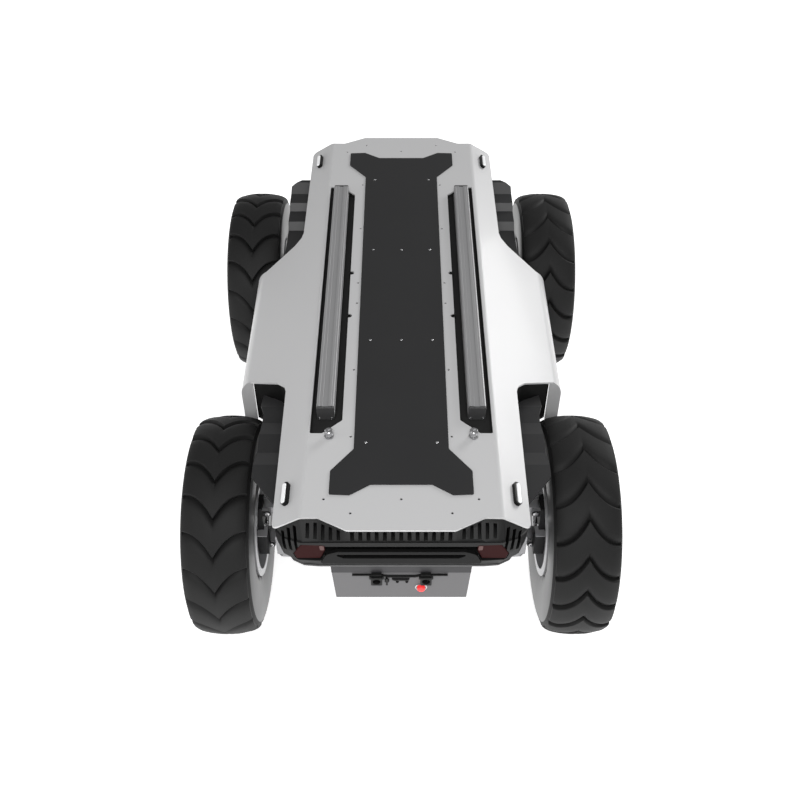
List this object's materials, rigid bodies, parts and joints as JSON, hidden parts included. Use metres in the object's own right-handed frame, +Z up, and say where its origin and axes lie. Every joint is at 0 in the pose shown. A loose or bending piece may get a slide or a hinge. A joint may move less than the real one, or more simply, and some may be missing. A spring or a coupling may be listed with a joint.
{
  "type": "four wheel robot chassis",
  "caption": "Four-wheel-drive mobile robot base: white sheet-metal cover over a black tub, deck plate between two slotted rails, chevron tyres on sprung parallel arms.",
  "frame": {"origin": "on the floor, midway between the four wheels", "axes": "+Z up, +Y forward (the electrical box is at the rear, -Y), +X to the right-hand side"},
  "size_m": [0.712, 1.077, 0.4408],
  "materials": {
    "painted_white": "satin",
    "painted_black": "satin",
    "black_plastic": "matt",
    "aluminium": "satin",
    "bright_steel": "satin",
    "grey_paint": "satin",
    "rubber": "matt",
    "tyre": "matt",
    "red_lens": "gloss",
    "clear_lens": "gloss",
    "signal_red": "gloss",
    "rim_paint": "satin",
    "battery_case": "matt"
  },
  "bodies": {
    "chassis": {"chassis_tub": "painted_black", "top_cover": "painted_white", "deck_plate": "painted_black", "battery_pack": "battery_case", "control_box": "grey_paint", "rail_tray_r": "black_plastic", "rail_r": "aluminium", "deck_stud_r": "bright_steel", "socket_r": "black_plastic", "rail_tray_l": "black_plastic", "rail_l": "aluminium", "deck_stud_l": "bright_steel", "socket_l": "black_plastic", "bumper_front": "black_plastic", "rail_cap_front_r": "black_plastic", "marker_lamp_front_r": "clear_lens", "end_lamp_front_r": "clear_lens", "arch_liner_front_r": "black_plastic", "shock_body_front_r": "rubber", "rail_cap_front_l": "black_plastic", "marker_lamp_front_l": "clear_lens", "end_lamp_front_l": "clear_lens", "arch_liner_front_l": "black_plastic", "shock_body_front_l": "rubber", "bumper_rear": "black_plastic", "rail_cap_rear_r": "black_plastic", "marker_lamp_rear_r": "clear_lens", "end_lamp_rear_r": "red_lens", "arch_liner_rear_r": "black_plastic", "shock_body_rear_r": "rubber", "rail_cap_rear_l": "black_plastic", "marker_lamp_rear_l": "clear_lens", "end_lamp_rear_l": "red_lens", "arch_liner_rear_l": "black_plastic", "shock_body_rear_l": "rubber"},
    "power_button": {"power_button": "signal_red"},
    "wheel_front_r": {"tyre_front_r": "tyre", "rim_front_r": "rim_paint"},
    "arm_lower_front_r": {"arm_lower_front_r": "aluminium"},
    "arm_upper_front_r": {"arm_upper_front_r": "aluminium"},
    "upright_front_r": {"upright_front_r": "painted_black"},
    "shock_rod_front_r": {"shock_rod_front_r": "bright_steel"},
    "wheel_rear_r": {"tyre_rear_r": "tyre", "rim_rear_r": "rim_paint"},
    "arm_lower_rear_r": {"arm_lower_rear_r": "aluminium"},
    "arm_upper_rear_r": {"arm_upper_rear_r": "aluminium"},
    "upright_rear_r": {"upright_rear_r": "painted_black"},
    "shock_rod_rear_r": {"shock_rod_rear_r": "bright_steel"},
    "wheel_front_l": {"tyre_front_l": "tyre", "rim_front_l": "rim_paint"},
    "arm_lower_front_l": {"arm_lower_front_l": "aluminium"},
    "arm_upper_front_l": {"arm_upper_front_l": "aluminium"},
    "upright_front_l": {"upright_front_l": "painted_black"},
    "shock_rod_front_l": {"shock_rod_front_l": "bright_steel"},
    "wheel_rear_l": {"tyre_rear_l": "tyre", "rim_rear_l": "rim_paint"},
    "arm_lower_rear_l": {"arm_lower_rear_l": "aluminium"},
    "arm_upper_rear_l": {"arm_upper_rear_l": "aluminium"},
    "upright_rear_l": {"upright_rear_l": "painted_black"},
    "shock_rod_rear_l": {"shock_rod_rear_l": "bright_steel"}
  },
  "joints": [
    {"name": "suspension_front_r", "type": "hinge", "parent": "chassis", "child": "arm_lower_front_r", "pos_m": [0.163, 0.334, 0.15], "axis": [0, -1, 0], "range_deg": [-8, 8], "stiffness_Nm_per_rad": 600, "springref_deg": -0.86},
    {"name": "upper_arm_swing_front_r", "type": "hinge", "parent": "chassis", "child": "arm_upper_front_r", "pos_m": [0.163, 0.334, 0.236], "axis": [0, -1, 0], "range_deg": [-8, 8]},
    {"name": "upright_swing_front_r", "type": "hinge", "parent": "arm_lower_front_r", "child": "upright_front_r", "pos_m": [0.2265, 0.334, 0.15], "axis": [0, -1, 0], "range_deg": [-8, 8]},
    {"name": "shock_travel_front_r", "type": "slide", "parent": "chassis", "child": "shock_rod_front_r", "axis": [0, 0, 1], "range_m": [-0.0043, 0.0043]},
    {"name": "wheel_spin_front_r", "type": "hinge", "parent": "upright_front_r", "child": "wheel_front_r", "pos_m": [0.3, 0.334, 0.187], "axis": [1, 0, 0], "continuous": true},
    {"name": "suspension_rear_r", "type": "hinge", "parent": "chassis", "child": "arm_lower_rear_r", "pos_m": [0.163, -0.334, 0.15], "axis": [0, -1, 0], "range_deg": [-8, 8], "stiffness_Nm_per_rad": 600, "springref_deg": -0.86},
    {"name": "upper_arm_swing_rear_r", "type": "hinge", "parent": "chassis", "child": "arm_upper_rear_r", "pos_m": [0.163, -0.334, 0.236], "axis": [0, -1, 0], "range_deg": [-8, 8]},
    {"name": "upright_swing_rear_r", "type": "hinge", "parent": "arm_lower_rear_r", "child": "upright_rear_r", "pos_m": [0.2265, -0.334, 0.15], "axis": [0, -1, 0], "range_deg": [-8, 8]},
    {"name": "shock_travel_rear_r", "type": "slide", "parent": "chassis", "child": "shock_rod_rear_r", "axis": [0, 0, 1], "range_m": [-0.0043, 0.0043]},
    {"name": "wheel_spin_rear_r", "type": "hinge", "parent": "upright_rear_r", "child": "wheel_rear_r", "pos_m": [0.2925, -0.334, 0.187], "axis": [1, 0, 0], "continuous": true},
    {"name": "suspension_front_l", "type": "hinge", "parent": "chassis", "child": "arm_lower_front_l", "pos_m": [-0.163, 0.334, 0.15], "axis": [0, 1, 0], "range_deg": [-8, 8], "stiffness_Nm_per_rad": 600, "springref_deg": -0.86},
    {"name": "upper_arm_swing_front_l", "type": "hinge", "parent": "chassis", "child": "arm_upper_front_l", "pos_m": [-0.163, 0.334, 0.236], "axis": [0, 1, 0], "range_deg": [-8, 8]},
    {"name": "upright_swing_front_l", "type": "hinge", "parent": "arm_lower_front_l", "child": "upright_front_l", "pos_m": [-0.2265, 0.334, 0.15], "axis": [0, 1, 0], "range_deg": [-8, 8]},
    {"name": "shock_travel_front_l", "type": "slide", "parent": "chassis", "child": "shock_rod_front_l", "axis": [0, 0, 1], "range_m": [-0.0043, 0.0043]},
    {"name": "wheel_spin_front_l", "type": "hinge", "parent": "upright_front_l", "child": "wheel_front_l", "pos_m": [-0.3, 0.334, 0.187], "axis": [1, 0, 0], "continuous": true},
    {"name": "suspension_rear_l", "type": "hinge", "parent": "chassis", "child": "arm_lower_rear_l", "pos_m": [-0.163, -0.334, 0.15], "axis": [0, 1, 0], "range_deg": [-8, 8], "stiffness_Nm_per_rad": 600, "springref_deg": -0.86},
    {"name": "upper_arm_swing_rear_l", "type": "hinge", "parent": "chassis", "child": "arm_upper_rear_l", "pos_m": [-0.163, -0.334, 0.236], "axis": [0, 1, 0], "range_deg": [-8, 8]},
    {"name": "upright_swing_rear_l", "type": "hinge", "parent": "arm_lower_rear_l", "child": "upright_rear_l", "pos_m": [-0.2265, -0.334, 0.15], "axis": [0, 1, 0], "range_deg": [-8, 8]},
    {"name": "shock_travel_rear_l", "type": "slide", "parent": "chassis", "child": "shock_rod_rear_l", "axis": [0, 0, 1], "range_m": [-0.0043, 0.0043]},
    {"name": "wheel_spin_rear_l", "type": "hinge", "parent": "upright_rear_l", "child": "wheel_rear_l", "pos_m": [-0.2925, -0.334, 0.187], "axis": [1, 0, 0], "continuous": true},
    {"name": "button_press", "type": "slide", "parent": "chassis", "child": "power_button", "axis": [0, 1, 0], "range_m": [0, 0.003], "stiffness_N_per_m": 400}
  ],
  "couplings": [
    {"joint": "upper_arm_swing_front_r", "follows": "suspension_front_r", "ratio": 1},
    {"joint": "upright_swing_front_r", "follows": "suspension_front_r", "ratio": -1},
    {"joint": "shock_travel_front_r", "follows": "suspension_front_r", "m_per_rad": 0.03},
    {"joint": "upper_arm_swing_rear_r", "follows": "suspension_rear_r", "ratio": 1},
    {"joint": "upright_swing_rear_r", "follows": "suspension_rear_r", "ratio": -1},
    {"joint": "shock_travel_rear_r", "follows": "suspension_rear_r", "m_per_rad": 0.03},
    {"joint": "upper_arm_swing_front_l", "follows": "suspension_front_l", "ratio": 1},
    {"joint": "upright_swing_front_l", "follows": "suspension_front_l", "ratio": -1},
    {"joint": "shock_travel_front_l", "follows": "suspension_front_l", "m_per_rad": 0.03},
    {"joint": "upper_arm_swing_rear_l", "follows": "suspension_rear_l", "ratio": 1},
    {"joint": "upright_swing_rear_l", "follows": "suspension_rear_l", "ratio": -1},
    {"joint": "shock_travel_rear_l", "follows": "suspension_rear_l", "m_per_rad": 0.03}
  ]
}
